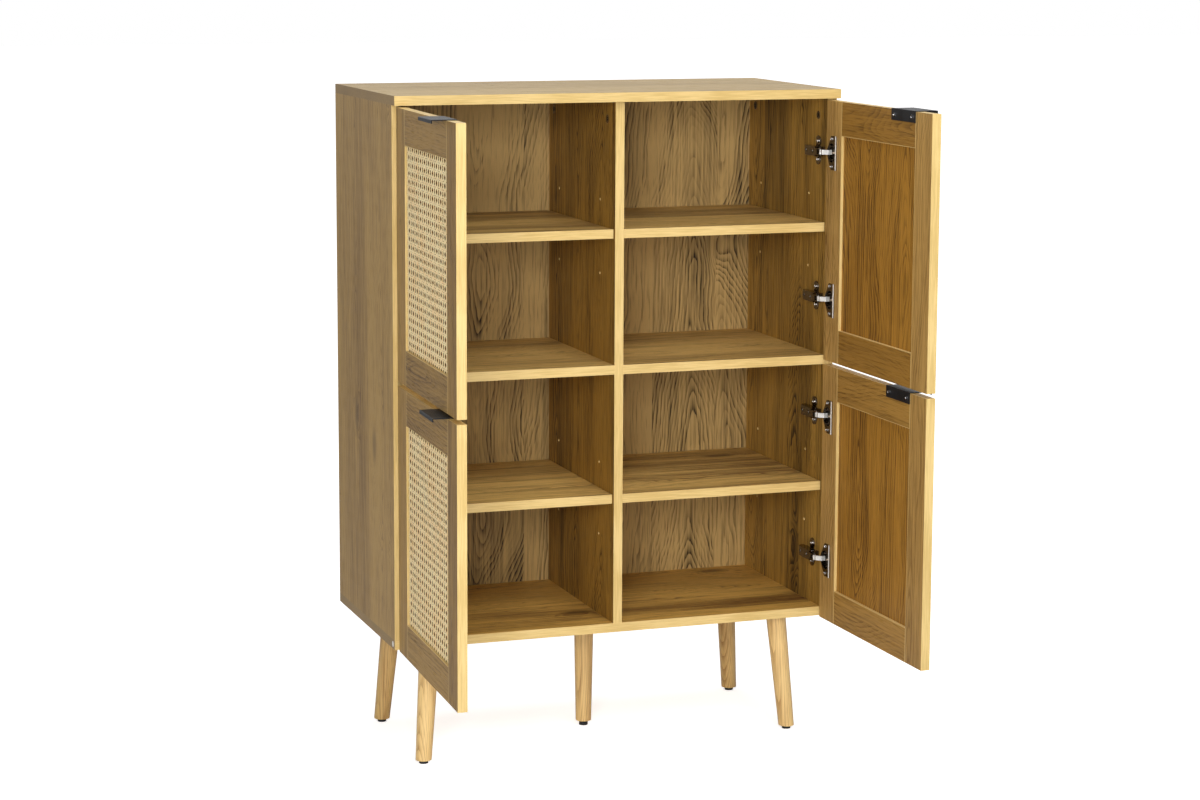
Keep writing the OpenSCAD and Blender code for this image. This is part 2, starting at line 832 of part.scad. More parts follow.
module lower_left_door_frame() color(oak) swung(-1, lower_door_z, left_open) door_frame();
module lower_left_door_board() color(oak) swung(-1, lower_door_z, left_open) door_board();
module lower_left_cane() color(cane_straw) swung(-1, lower_door_z, left_open) door_cane();
module lower_left_handle() color(black_metal) swung(-1, lower_door_z, left_open) door_handle();
module lower_left_hinge_cups() color(metal) swung(-1, lower_door_z, left_open) hinge_cups();
module lower_left_door_screws() color(metal) swung(-1, lower_door_z, left_open) door_screws();

module lower_right_door_frame() color(oak) swung(1, lower_door_z, right_open) door_frame();
module lower_right_door_board() color(oak) swung(1, lower_door_z, right_open) door_board();
module lower_right_cane() color(cane_straw) swung(1, lower_door_z, right_open) door_cane();
module lower_right_handle() color(black_metal) swung(1, lower_door_z, right_open) door_handle();
module lower_right_hinge_cups() color(metal) swung(1, lower_door_z, right_open) hinge_cups();
module lower_right_door_screws() color(metal) swung(1, lower_door_z, right_open) door_screws();

// ---------- legs and feet ----------

module corner_legs() {
    overrun = 20;
    length = sqrt(leg_lean * leg_lean + leg_rise * leg_rise);
    taper = (leg_top_d - leg_foot_d) / length;
    color(oak_solid) difference() {
        intersection() {
            for (s = corner_signs)
                translate([s[0] * leg_foot_x, s[1] * leg_foot_y, foot_h])
                    rotate([0, -leg_angle, atan2(s[1], s[0])]) translate([0, 0, -overrun])
                        cylinder(d1 = leg_foot_d - taper * overrun, d2 = leg_top_d + taper * overrun,
                                 h = length + 2 * overrun);
            block([-side_x, -rear, foot_h], [side_x, rear, leg_top_z]);
        }
        leg_bolt_shape(leg_bolt_d, leg_bolt_in_leg, leg_bolt_in_base);
        for (s = corner_signs)
            post(s[0] * leg_foot_x, s[1] * leg_foot_y, foot_h, stem_d + 2 * stem_play, stem_well);
    }
}

module centre_leg() {
    color(oak_solid) difference() {
        translate([0, 0, centre_leg_low])
            cylinder(d1 = leg_foot_d, d2 = leg_top_d, h = leg_top_z - centre_leg_low);
        leg_bolt_shape(leg_bolt_d, leg_bolt_in_leg, leg_bolt_in_base);
        post(0, 0, centre_leg_low, stem_d + 2 * stem_play, stem_well);
    }
}

module leg_plates() {
    color(metal) difference() {
        for (c = leg_tops)
            block([c[0] - leg_plate_w / 2, c[1] - leg_plate_w / 2, leg_top_z],
                  [c[0] + leg_plate_w / 2, c[1] + leg_plate_w / 2, leg_h]);
        leg_bolt_shape(leg_bolt_d, leg_bolt_in_leg, leg_bolt_in_base);
        leg_screw_shape(leg_screw_d, leg_top_z, leg_h);
    }
}

module leg_plate_screws() {
    color(metal) {
        leg_screw_shape(leg_screw_head_d, leg_top_z - leg_screw_head_t, leg_top_z);
        leg_screw_shape(leg_screw_d, leg_top_z, leg_top_z + leg_screw_l);
    }
}

module leg_bolts() {
    color(metal) leg_bolt_shape(leg_bolt_d, leg_bolt_in_leg, leg_bolt_in_base);
}

// A levelling foot: a round pad with a stem that goes up into the leg
module levelling_foot(x, y) {
    color(black_metal) {
        post(x, y, 0, foot_d, foot_h);
        post(x, y, foot_h, stem_d, stem_l);
    }
}

module front_left_foot() levelling_foot(-leg_foot_x, -leg_foot_y);
module front_right_foot() levelling_foot(leg_foot_x, -leg_foot_y);
module rear_left_foot() levelling_foot(-leg_foot_x, leg_foot_y);
module rear_right_foot() levelling_foot(leg_foot_x, leg_foot_y);
module centre_foot() levelling_foot(0, 0);

top_panel();
bottom_panel();
left_side_panel();
right_side_panel();
centre_divider();
back_panels();
left_fixed_shelf();
right_fixed_shelf();
shelf_pins();
cam_locks();
cam_bolts();
dowels();
base_screws();
end_plugs();
hinge_plates();
hinge_arms();
hinge_plate_screws();
corner_legs();
centre_leg();
leg_plates();
leg_plate_screws();
leg_bolts();
upper_left_shelf();
upper_right_shelf();
lower_left_shelf();
lower_right_shelf();
upper_left_door_frame();
upper_left_door_board();
upper_left_cane();
upper_left_handle();
upper_left_hinge_cups();
upper_left_door_screws();
upper_left_hinge_links();
upper_right_door_frame();
upper_right_door_board();
upper_right_cane();
upper_right_handle();
upper_right_hinge_cups();
upper_right_door_screws();
upper_right_hinge_links();
lower_left_door_frame();
lower_left_door_board();
lower_left_cane();
lower_left_handle();
lower_left_hinge_cups();
lower_left_door_screws();
lower_left_hinge_links();
lower_right_door_frame();
lower_right_door_board();
lower_right_cane();
lower_right_handle();
lower_right_hinge_cups();
lower_right_door_screws();
lower_right_hinge_links();
front_left_foot();
front_right_foot();
rear_left_foot();
rear_right_foot();
centre_foot();
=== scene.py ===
"""Looks of the shoe cabinet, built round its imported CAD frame. Metres, +Z up, origin on the floor."""
import json
import math
import random

import bpy
import numpy as np
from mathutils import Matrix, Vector


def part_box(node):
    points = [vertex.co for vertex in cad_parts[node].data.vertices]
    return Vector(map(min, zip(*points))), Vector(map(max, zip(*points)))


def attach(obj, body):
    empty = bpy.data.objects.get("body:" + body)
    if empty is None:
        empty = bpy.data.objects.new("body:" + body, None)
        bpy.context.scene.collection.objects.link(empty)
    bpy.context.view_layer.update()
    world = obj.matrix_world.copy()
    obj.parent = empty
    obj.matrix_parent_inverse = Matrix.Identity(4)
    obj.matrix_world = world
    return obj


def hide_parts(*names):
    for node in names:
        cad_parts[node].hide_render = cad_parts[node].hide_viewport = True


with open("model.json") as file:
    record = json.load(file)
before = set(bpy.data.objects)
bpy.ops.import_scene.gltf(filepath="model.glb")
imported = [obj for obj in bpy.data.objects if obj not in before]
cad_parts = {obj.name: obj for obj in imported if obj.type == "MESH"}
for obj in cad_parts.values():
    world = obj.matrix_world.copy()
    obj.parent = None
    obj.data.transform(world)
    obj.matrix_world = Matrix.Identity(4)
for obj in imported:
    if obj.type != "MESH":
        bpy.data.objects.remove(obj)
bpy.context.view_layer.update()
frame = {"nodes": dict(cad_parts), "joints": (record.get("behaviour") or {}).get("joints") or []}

nodes = frame["nodes"]
joints = {j["name"]: j for j in frame["joints"]}
SIDES = ("left", "right")
LEVELS = ("upper", "lower")

# ---------- sizes ----------

HALF_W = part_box("bottom_panel")[1].x
BOARD_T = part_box("top_panel")[1].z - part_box("top_panel")[0].z
# measures of a door in the part: a stile, the whole width, and how far the hinge axis stands off
STILE_W = 0.059
DOOR_W = 0.397
AXIS_TO_EDGE = 0.0068
AXIS_TO_INNER_FACE = 0.0132
# depths in a door, outwards from its inner face
CANE_IN, CANE_OUT = 0.011, 0.013
BOARD_MIDDLE = 0.008


class Door:
    """A door as it stands at rest: a runs along it from the hinge edge, b outwards from its inner face."""

    def __init__(self, level, side):
        self.name = f"{level}_{side}"
        self.body = self.name + "_door"
        self.sign = -1 if side == "left" else 1
        hinge = joints[self.name + "_door_hinge"]
        opening = -math.radians(hinge["range_deg"][0])
        self.along = Vector((-self.sign * math.cos(opening), -math.sin(opening), 0))
        self.out = Vector((self.sign * math.sin(opening), -math.cos(opening), 0))
        pivot = Vector(hinge["pos_m"])
        self.origin = pivot - self.along * AXIS_TO_EDGE - self.out * AXIS_TO_INNER_FACE

    def point(self, a, b, z):
        """Row-frame points for arrays of door coordinates."""
        base = np.array([self.origin.x, self.origin.y])
        xy = base + np.outer(a, self.along[:2]) + np.outer(b, self.out[:2])
        return np.column_stack([xy, z])


doors = [Door(level, side) for level in LEVELS for side in SIDES]

# ---------- camera ----------

LENS_MM = 84.62
SHIFT_Y = -0.0417
CAMERA_AT = (-1.6257, -4.6705, 1.4189)
# degrees about x, y and z
CAMERA_TURN = (81.549, -0.25, -19.469)
CAMERA_REACH = 50


def add_camera():
    data = bpy.data.cameras.new("camera")
    data.lens = LENS_MM
    data.shift_y = SHIFT_Y
    data.clip_end = CAMERA_REACH
    camera = bpy.data.objects.new("camera", data)
    camera.location = CAMERA_AT
    camera.rotation_euler = [math.radians(t) for t in CAMERA_TURN]
    bpy.context.scene.collection.objects.link(camera)
    bpy.context.scene.camera = camera


add_camera()

# ---------- material helpers ----------


class Graph:
    """A material's node tree. Each method adds one node and returns its output socket."""

    def __init__(self, name):
        self.material = bpy.data.materials.new(name)
        self.material.use_nodes = True
        self.tree = self.material.node_tree
        self.tree.nodes.clear()
        self.surface = self.tree.nodes.new("ShaderNodeBsdfPrincipled")
        out = self.tree.nodes.new("ShaderNodeOutputMaterial")
        self.tree.links.new(self.surface.outputs[0], out.inputs["Surface"])

    def put(self, socket, value):
        if isinstance(value, bpy.types.NodeSocket):
            self.tree.links.new(value, socket)
        elif value is not None:
            socket.default_value = value

    def math(self, operation, a, b=None, c=None, clamp=False):
        node = self.tree.nodes.new("ShaderNodeMath")
        node.operation = operation
        node.use_clamp = clamp
        for socket, value in zip(node.inputs, (a, b, c)):
            self.put(socket, value)
        return node.outputs[0]

    def dot(self, vector, direction):
        node = self.tree.nodes.new("ShaderNodeVectorMath")
        node.operation = "DOT_PRODUCT"
        self.put(node.inputs[0], vector)
        node.inputs[1].default_value = direction
        return node.outputs["Value"]

    def combine(self, x, y, z):
        node = self.tree.nodes.new("ShaderNodeCombineXYZ")
        for socket, value in zip(node.inputs, (x, y, z)):
            self.put(socket, value)
        return node.outputs[0]

    def scaled(self, vector, scale, shift=(0, 0, 0)):
        node = self.tree.nodes.new("ShaderNodeMapping")
        self.put(node.inputs["Vector"], vector)
        node.inputs["Scale"].default_value = scale
        node.inputs["Location"].default_value = shift
        return node.outputs[0]

    def noise(self, vector, scale=1.0, detail=2.0, roughness=0.5, distortion=0.0):
        node = self.tree.nodes.new("ShaderNodeTexNoise")
        self.put(node.inputs["Vector"], vector)
        node.inputs["Scale"].default_value = scale
        node.inputs["Detail"].default_value = detail
        node.inputs["Roughness"].default_value = roughness
        node.inputs["Distortion"].default_value = distortion
        return node.outputs["Fac"]

    def voronoi(self, vector):
        node = self.tree.nodes.new("ShaderNodeTexVoronoi")
        self.put(node.inputs["Vector"], vector)
        node.inputs["Scale"].default_value = 1.0
        return node.outputs["Distance"]

    def random(self, value):
        node = self.tree.nodes.new("ShaderNodeTexWhiteNoise")
        node.noise_dimensions = "1D"
        self.put(node.inputs["W"], value)
        return node.outputs["Value"]

    def range(self, value, a, b, to_a=0.0, to_b=1.0, smooth=True):
        node = self.tree.nodes.new("ShaderNodeMapRange")
        node.interpolation_type = "SMOOTHSTEP" if smooth else "LINEAR"
        for key, v in zip(("Value", "From Min", "From Max", "To Min", "To Max"), (value, a, b, to_a, to_b)):
            self.put(node.inputs[key], v)
        return node.outputs[0]

    def mix(self, factor, a, b, blend="MIX"):
        node = self.tree.nodes.new("ShaderNodeMix")
        node.data_type = "RGBA"
        node.blend_type = blend
        for socket, value in zip((node.inputs["Factor"], node.inputs[6], node.inputs[7]), (factor, a, b)):
            self.put(socket, (*value, 1) if isinstance(value, tuple) and len(value) == 3 else value)
        return node.outputs[2]

    def blend(self, factor, a, b):
        node = self.tree.nodes.new("ShaderNodeMix")
        node.data_type = "FLOAT"
        for socket, value in zip(node.inputs[:1] + node.inputs[2:4], (factor, a, b)):
            self.put(socket, value)
        return node.outputs[0]

    def bump(self, height, strength, distance, normal=None):
        node = self.tree.nodes.new("ShaderNodeBump")
        self.put(node.inputs["Height"], height)
        node.inputs["Strength"].default_value = strength
        node.inputs["Distance"].default_value = distance
        self.put(node.inputs["Normal"], normal)
        return node.outputs[0]

    def place(self):
        return self.tree.nodes.new("ShaderNodeTexCoord").outputs["Object"]

    def normal(self):
        return self.tree.nodes.new("ShaderNodeTexCoord").outputs["Normal"]

    def attribute(self, name):
        node = self.tree.nodes.new("ShaderNodeAttribute")
        node.attribute_name = name
        return node.outputs["Fac"]

    def set(self, **values):
        for key, value in values.items():
            self.put(self.surface.inputs[key.replace("_", " ")], value)
        return self.material


def srgb(r, g, b):
    """A linear colour from the 0-255 values that a screen shows."""
    return tuple(((v / 255 + 0.055) / 1.055) ** 2.4 if v > 10 else v / 255 / 12.92 for v in (r, g, b))


# ---------- wood ----------

PLANK_W = 0.125
RING_PER_M = 140
# radius of the innermost ring, which rounds the tips of the arches
TIP = 0.006
# how squarely a surface must face a way to count as facing it: from not at all to fully
TURN = (0.55, 0.75)
# the pale line where two pieces of a door frame meet, in their edge colour and painted as a highlight of
# their rounded edges: full width and faded width
SEAM_HIGHLIGHT = (0.0005, 0.0013)
BAND_SHADE = (0.82, 0.78, 0.66)
OAK_SHINE = 0.4


class Oak:
    """One oak finish: its colours, and how strong its figure is. contrast spreads light and dark apart."""

    def __init__(self, light, dark, pore, edge, knots=0.0, figure=1.0, plank=0.2, contrast=1.0, cloud=1.1):
        middle = [0.6 * a + 0.4 * b for a, b in zip(light, dark)]
        self.light = tuple(m + contrast * (a - m) for m, a in zip(middle, light))
        self.dark = tuple(max(0.15 * b, m + contrast * (b - m)) for m, b in zip(middle, dark))
        self.pore, self.edge = pore, edge
        self.knots, self.figure, self.plank, self.cloud = knots, figure, plank, cloud


def oak_colour(g, u, n, grain, look, seed):
    """Colour and relief of plain-sawn oak: u across the board, n through it, grain along it."""
    def at(across, through, along, shift=0.0):
        return g.combine(g.math("MULTIPLY_ADD", u, across, shift), g.math("MULTIPLY_ADD", n, through, shift),
                         g.math("MULTIPLY_ADD", grain, along, shift))

    # planks side by side, each cut from another place in the log
    strip = g.math("DIVIDE", g.math("ADD", u, 7.13 * seed), PLANK_W)
    cut = g.random(g.math("FLOOR", strip))
    local = g.math("MULTIPLY", g.math("SUBTRACT", g.math("FRACT", strip), 0.5), PLANK_W)
    pith = g.math("MULTIPLY", g.math("SUBTRACT", cut, 0.5), PLANK_W * 0.8)
    shift = g.math("MULTIPLY", cut, 31.7)
    sway = g.math("SUBTRACT", g.noise(at(2.5, 2.0, 2.6, shift), detail=1), 0.5)
    side = g.math("ADD", g.math("SUBTRACT", local, pith), g.math("MULTIPLY", sway, 0.07))
    radius = g.math("SQRT", g.math("MULTIPLY_ADD", side, side, TIP * TIP))
    lean = g.random(g.math("ADD", g.math("FLOOR", strip), 0.5))
    taper = g.math("MULTIPLY", g.math("SUBTRACT", lean, 0.35), 0.34)
    radius = g.math("MULTIPLY_ADD", grain, taper, radius)
    radius = g.math("MULTIPLY_ADD", sway, 0.16, radius)
    wave = g.noise(at(30.0, 3.0, 11.0, shift), detail=2, roughness=0.6)
    jag = g.noise(at(130.0, 9.0, 36.0, shift), detail=2, roughness=0.65)
    radius = g.math("MULTIPLY_ADD", wave, 0.014, radius)
    radius = g.math("MULTIPLY_ADD", jag, 0.0028, radius)
    if look.knots:
        knot = g.voronoi(g.combine(g.math("MULTIPLY", u, 5.2), 3.1 * seed, g.math("MULTIPLY", grain, 2.1)))
        radius = g.math("ADD", radius, g.range(knot, 0.0, 0.17, 0.035, 0.0))
    ring = g.math("FRACT", g.math("MULTIPLY", radius, RING_PER_M))
    line = g.math("POWER", g.math("SUBTRACT", 1.0, ring), 2.0)
    line = g.math("MAXIMUM", line, g.range(ring, 0.86, 1.0))
    grown = g.combine(g.math("MULTIPLY", radius, 45.0), shift, g.math("MULTIPLY", grain, 0.8))
    grown = g.noise(grown, detail=1)
    line = g.math("MULTIPLY", line, g.range(grown, 0.3, 0.65, 0.15, 1.0))
    # fibres, short dark flecks and open pores
    fibre = g.noise(at(240.0, 240.0, 5.0), detail=3, roughness=0.65)
    fleck = g.range(g.noise(at(420.0, 420.0, 16.0), detail=1), 0.6, 0.72)
    pores = g.range(g.noise(at(1100.0, 1100.0, 30.0), detail=1), 0.54, 0.66)
    line = g.math("MULTIPLY", line, g.range(fibre, 0.3, 0.6, 0.45, 1.0))
    tone = g.noise(at(11.0, 2.0, 1.0, shift), detail=2)
    amount = g.math("MULTIPLY_ADD", line, look.figure, 0.08)
    for value, middle, weight in ((fibre, 0.5, 1.5), (tone, 0.5, look.cloud), (cut, 0.5, look.plank)):
        amount = g.math("MULTIPLY_ADD", g.math("SUBTRACT", value, middle), weight, amount)
    amount = g.range(amount, 0.0, 1.0, smooth=False)
    colour = g.mix(amount, look.light, look.dark)
    open_pores = g.math("MULTIPLY_ADD", line, 0.5, 0.12)
    mark = g.math("MULTIPLY_ADD", pores, open_pores, g.math("MULTIPLY", fleck, 0.35))
    colour = g.mix(g.math("MULTIPLY", mark, 0.9), colour, look.pore)
    if look.knots:
        colour = g.mix(g.range(knot, 0.02, 0.1, look.knots, 0.0), colour, look.pore)
    return colour, pores, fibre


def oak_board(name, across, grain, look, seed, flip=None, far_side=None, rail_shading=None, rims=(), ends=None):
    """A board faced with oak: the figured face one way, plain lighter banding on the narrow edges.
    across and grain are row-frame directions.
    flip is (direction, start, end): between these, the grain turns. rail_shading tints that part with painted
    shade, and rims are the heights of its inner edges.
    far_side is (direction, start, colour, amount): the face turned away is tinted towards colour, as painted
    light and shade.
    ends colours the end-grain faces."""
    g = Graph(name)
    across, grain = Vector(across), Vector(grain)
    through = across.cross(grain)
    place = g.place()
    u, n, v = g.dot(place, across), g.dot(place, through), g.dot(place, grain)
    if flip is not None:
        direction, start, end = flip
        way = g.dot(place, direction)
        turned = g.math("MULTIPLY", g.math("GREATER_THAN", way, start), g.math("LESS_THAN", way, end))
        u, v = g.blend(turned, u, v), g.blend(turned, v, u)
    colour, pores, fibre = oak_colour(g, u, n, v, look, seed)
    if rail_shading is not None:
        # painted shade: the rails are tinted darker than the stiles
        colour = g.mix(turned, colour, g.mix(1.0, colour, rail_shading, "MULTIPLY"))
        seam = g.math("MINIMUM", g.math("ABSOLUTE", g.math("SUBTRACT", way, start)),
                      g.math("ABSOLUTE", g.math("SUBTRACT", way, end)))
        for rim in rims:
            apart = g.math("ABSOLUTE", g.math("SUBTRACT", g.dot(place, Z), rim))
            seam = g.math("MINIMUM", seam, g.math("ADD", apart, g.math("SUBTRACT", 1.0, turned)))
        # painted highlight: the seams take the pale edge colour
        colour = g.mix(g.range(seam, *SEAM_HIGHLIGHT, 0.85, 0.0), colour, look.edge)
    facing = g.math("ABSOLUTE", g.dot(g.normal(), through))
    edge = g.range(facing, *TURN, 1.0, 0.0)
    lengthways = [900.0 * (1 - abs(d)) + 22.0 * abs(d) for d in grain]
    streak = g.noise(g.scaled(place, lengthways), detail=3, roughness=0.6)
    cloud = g.noise(place, scale=7.0, detail=2)
    shade = g.math("MULTIPLY_ADD", g.math("SUBTRACT", cloud, 0.5), 0.7, streak)
    band_dark = tuple(k * c for k, c in zip(BAND_SHADE, look.edge))
    band = g.mix(g.range(shade, 0.35, 0.68), look.edge, band_dark)
    if ends is not None:
        end = g.range(g.math("ABSOLUTE", g.dot(g.normal(), grain)), *TURN)
        band = g.mix(end, band, g.mix(g.range(shade, 0.3, 0.7), ends, tuple(0.7 * c for c in ends)))
    colour = g.mix(edge, colour, band)
    shine = OAK_SHINE
    if far_side is not None:
        direction, start, tint, tint_amount = far_side
        # painted light and shade: beyond start, the face turned away is tinted towards the given colour
        behind = g.math("GREATER_THAN", g.dot(place, direction), start)
        colour = g.mix(g.math("MULTIPLY", behind, tint_amount), colour, tint)
        # at full amount, as on the board behind the cane, the painted shade takes the shine away too
        if tint_amount == 1:
            shine = g.math("MULTIPLY_ADD", behind, -shine, shine)
    height = g.math("SUBTRACT", g.math("MULTIPLY", fibre, 0.4), pores)
    height = g.math("MULTIPLY", height, g.range(facing, *TURN, 0.3, 1.0))
    rough = g.math("MULTIPLY_ADD", pores, 0.18, g.math("MULTIPLY_ADD", fibre, 0.12, 0.42))
    return g.set(Base_Color=colour, Roughness=rough, Normal=g.bump(height, 0.35, 0.00025),
                 Specular_IOR_Level=shine)


X, Y, Z = (1, 0, 0), (0, 1, 0), (0, 0, 1)
EDGE = srgb(231, 201, 135)
# These looks are one oak finish in lit and shaded copies: their shared colour is the oak's own, while the
# differences between pieces are painted light and shade for how the light falls on each piece. The lower
# shelves are painted lighter than the upper, and the left side and left doors, seen from outside, differ from
# the right ones, seen from inside.
panel_look = Oak(srgb(166, 125, 52), srgb(82, 48, 8), srgb(47, 27, 4), EDGE,
                 knots=0.8, figure=0.95, contrast=1.35, cloud=1.5)
right_look = Oak(srgb(174, 133, 59), srgb(90, 54, 12), srgb(52, 31, 6), EDGE,
                 knots=0.8, figure=0.95, contrast=1.45, cloud=1.7)
shelf_look = Oak(srgb(209, 173, 102), srgb(122, 88, 36), srgb(74, 49, 18), EDGE,
                 knots=0.8, figure=0.7, contrast=1.45, cloud=1.8)
lit_low_shelf_look = Oak(srgb(221, 184, 107), srgb(131, 95, 39), srgb(80, 53, 19), EDGE,
                     knots=0.8, figure=0.7, contrast=1.45, cloud=1.8)
bottom_look = Oak(srgb(203, 160, 80), srgb(118, 81, 28), srgb(71, 45, 14), EDGE,
                  knots=0.8, figure=0.7, contrast=1.45, cloud=1.8)
outside_look = Oak(srgb(175, 140, 80), srgb(115, 83, 39), srgb(74, 50, 26), EDGE,
                   knots=0.5, figure=0.5, contrast=1.5)
top_look = Oak(srgb(176, 149, 97), srgb(132, 105, 60), srgb(96, 71, 39), EDGE,
               knots=0.5, figure=0.6, contrast=1.7)
back_look = Oak(srgb(194, 161, 101), srgb(87, 60, 24), srgb(60, 40, 15), EDGE,
                knots=0.9, figure=0.85, contrast=1.35, cloud=2.0)
board_look = Oak(srgb(177, 127, 48), srgb(86, 51, 9), srgb(59, 33, 6), EDGE,
                 knots=0.5, figure=0.85, contrast=1.2)
left_stile_look = Oak(srgb(169, 131, 63), srgb(97, 65, 22), srgb(62, 39, 15), EDGE,
                      knots=0.2, figure=0.55, plank=0.0, contrast=1.2)
right_stile_look = Oak(srgb(191, 151, 85), srgb(110, 75, 33), srgb(70, 45, 18), EDGE,
                       knots=0.2, figure=0.55, plank=0.0, contrast=1.2)
END_OAK = srgb(166, 136, 88)
# painted shade: the colour of the board's face behind the cane, dark for the shade that the strands cast
# there; and the tint of each door's rails against its stiles, also painted shade
SHADE_BEHIND_CANE = (0.17, 0.08, 0.022)
# painted shade on each door's rails against its stiles, set door by door
RAIL_SHADING = {"upper_left": (0.93, 0.93, 0.93), "lower_left": (0.98, 0.98, 0.95),
              "upper_right": (0.67, 0.57, 0.34), "lower_right": (0.80, 0.73, 0.54)}

# how far apart points are joined, how sharp an edge is rounded, and by how much on each kind of piece
WELD_REACH = 0.00001
SHARP_DEG = 35
BOARD_ROUND = 0.0005
FRAME_ROUND = 0.0006
METAL_ROUND = 0.00025
HANDLE_ROUND = 0.0003
DOOR_METAL_ROUND = 0.0002
LEG_ROUND = 0.002
FOOT_ROUND = 0.0006


def paint(node, material, slot):
    slots = nodes[node].material_slots
    if not slots:
        nodes[node].data.materials.append(material)
    for s in slots:
        s.material = material


def soften(obj, width, segments=2):
    """Rounds the edges a little, so that they catch the light."""
    weld = obj.modifiers.new("weld", "WELD")
    weld.merge_threshold = WELD_REACH
    bevel = obj.modifiers.new("bevel", "BEVEL")
    bevel.width = width
    bevel.segments = segments
    bevel.limit_method = "ANGLE"
    bevel.angle_limit = math.radians(SHARP_DEG)
    bevel.use_clamp_overlap = True
    bevel.harden_normals = False
    normals = obj.modifiers.new("normals", "WEIGHTED_NORMAL")
    normals.keep_sharp = True


def paint_carcass():
    paint("top_panel", oak_board("oak_top", Y, X, top_look, 1.0, ends=END_OAK), "top_oak")
    paint("bottom_panel", oak_board("oak_bottom", Y, X, bottom_look, 2.0, ends=END_OAK), "shelf_oak")
    for i, side in enumerate(SIDES):
        look = outside_look if side == "left" else right_look
        # painted light and shade: the left side's inner face is tinted darker, towards the shaded inside
        # colour, and the right side's outer face lighter, towards the lit outside colour
        tint = right_look.dark if side == "left" else outside_look.light
        middle = (HALF_W - BOARD_T / 2) * (2 * i - 1)
        side_oak = oak_board(f"oak_side_{side}", Y, Z, look, 3.0 + i, far_side=(X, middle, tint, 0.5))
        paint(f"{side}_side_panel", side_oak, "panel_oak")
        paint(f"{side}_fixed_shelf", oak_board(f"oak_fixed_{side}", Y, X, shelf_look, 5.3 + i), "shelf_oak")
        for j, level in enumerate(LEVELS):
            shelf = f"{level}_{side}_shelf"
            # the lower shelves take a lit copy of the shelf oak, painted lighter
            look = lit_low_shelf_look if level == "lower" else shelf_look
            paint(shelf, oak_board("oak_" + shelf, Y, X, look, 7.1 + i + 2 * j), "shelf_oak")
    paint("centre_divider", oak_board("oak_divider", Y, Z, panel_look, 12.4), "panel_oak")
    paint("back_panels", oak_board("oak_back", X, Z, back_look, 13.7), "back_oak")
    for name in ("top_panel", "bottom_panel", "left_side_panel", "right_side_panel", "centre_divider",
                 "left_fixed_shelf", "right_fixed_shelf", "upper_left_shelf", "upper_right_shelf",
                 "lower_left_shelf", "lower_right_shelf"):
        soften(nodes[name], BOARD_ROUND)


def paint_doors():
    for i, door in enumerate(doors):
        start = door.origin.dot(door.along)
        rails = (door.along, start + STILE_W, start + DOOR_W - STILE_W)
        # left and right doors take lit and shaded copies of the stile oak, painted light and shade
        look = left_stile_look if door.sign < 0 else right_stile_look
        rims = [corner.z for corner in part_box(door.name + "_cane")]
        frame_oak = oak_board("oak_frame_" + door.name, door.along, Z, look, 20.3 + i, flip=rails,
                              rail_shading=RAIL_SHADING[door.name], rims=rims)
        paint(door.name + "_door_frame", frame_oak, "frame_oak")
        soften(nodes[door.name + "_door_frame"], FRAME_ROUND)
        # the board's face behind the cane is painted dark and without shine, as the shade that the strands
        # cast
        middle = door.origin.dot(door.out) + BOARD_MIDDLE
        board_oak = oak_board("oak_board_" + door.name, door.along, Z, board_look, 30.9 + i,
                              far_side=(door.out, middle, SHADE_BEHIND_CANE, 1.0))
        paint(door.name + "_door_board", board_oak, "board_oak")


# ---------- solid wood ----------

LEG_RING_PER_M = 260
REAR_LEG_SHADE = (0.80, 0.76, 0.68)


def leg_wood():
    """Straight-grained solid oak, with painted shade on the rear legs."""
    g = Graph("solid_oak")
    place = g.place()
    x, y = g.dot(place, X), g.dot(place, Y)

    def stretched(across, along):
        return g.scaled(place, (across, across, along))

    sway = g.noise(stretched(6.0, 3.0), detail=2)
    u = g.math("ADD", g.math("ADD", x, g.math("MULTIPLY", y, 0.6)), g.math("MULTIPLY", sway, 0.03))
    ring = g.math("FRACT", g.math("MULTIPLY", u, LEG_RING_PER_M))
    line = g.math("POWER", g.range(ring, 0.0, 0.8, 1.0, 0.0, smooth=False), 1.5)
    fibre = g.noise(stretched(500.0, 14.0), detail=3)
    broad = g.noise(stretched(60.0, 5.0))
    amount = g.math("ADD", g.math("MULTIPLY", line, 0.5), g.math("MULTIPLY_ADD", fibre, 1.1, -0.5))
    amount = g.math("MULTIPLY_ADD", g.math("SUBTRACT", broad, 0.5), 1.4, amount, clamp=True)
    colour = g.mix(amount, srgb(241, 205, 138), srgb(160, 108, 50))
    # painted shade: the legs towards the back are tinted darker
    rear = g.range(y, -0.05, 0.05)
    colour = g.mix(rear, colour, g.mix(1.0, colour, REAR_LEG_SHADE, "MULTIPLY"))
    return g.set(Base_Color=colour, Roughness=0.42, Normal=g.bump(fibre, 0.25, 0.0002), Coat_Weight=0.15,
                 Coat_Roughness=0.3)


def end_grain(name, light, dark):
    g = Graph(name)
    fibre = g.noise(g.scaled(g.place(), (900, 900, 60)), detail=3)
    return g.set(Base_Color=g.mix(fibre, light, dark), Roughness=0.6, Normal=g.bump(fibre, 0.3, 0.0002))


# ---------- metals and plastics ----------

# the hinges' nickel plating in two painted copies: a darkened one, painted with the dark reflections it
# shows, and a near-white, less metallic one, painted with white reflections
NICKEL_DARK_REFLECTION = srgb(118, 110, 101)
NICKEL_WHITE_REFLECTION = srgb(244, 242, 238)
# where the bar of a hinge cup stands proud of its flange, and where a foot's plastic ends
FLANGE_T = 0.0016
FOOT_TOP = 0.00605
THREAD_PITCH = 0.001


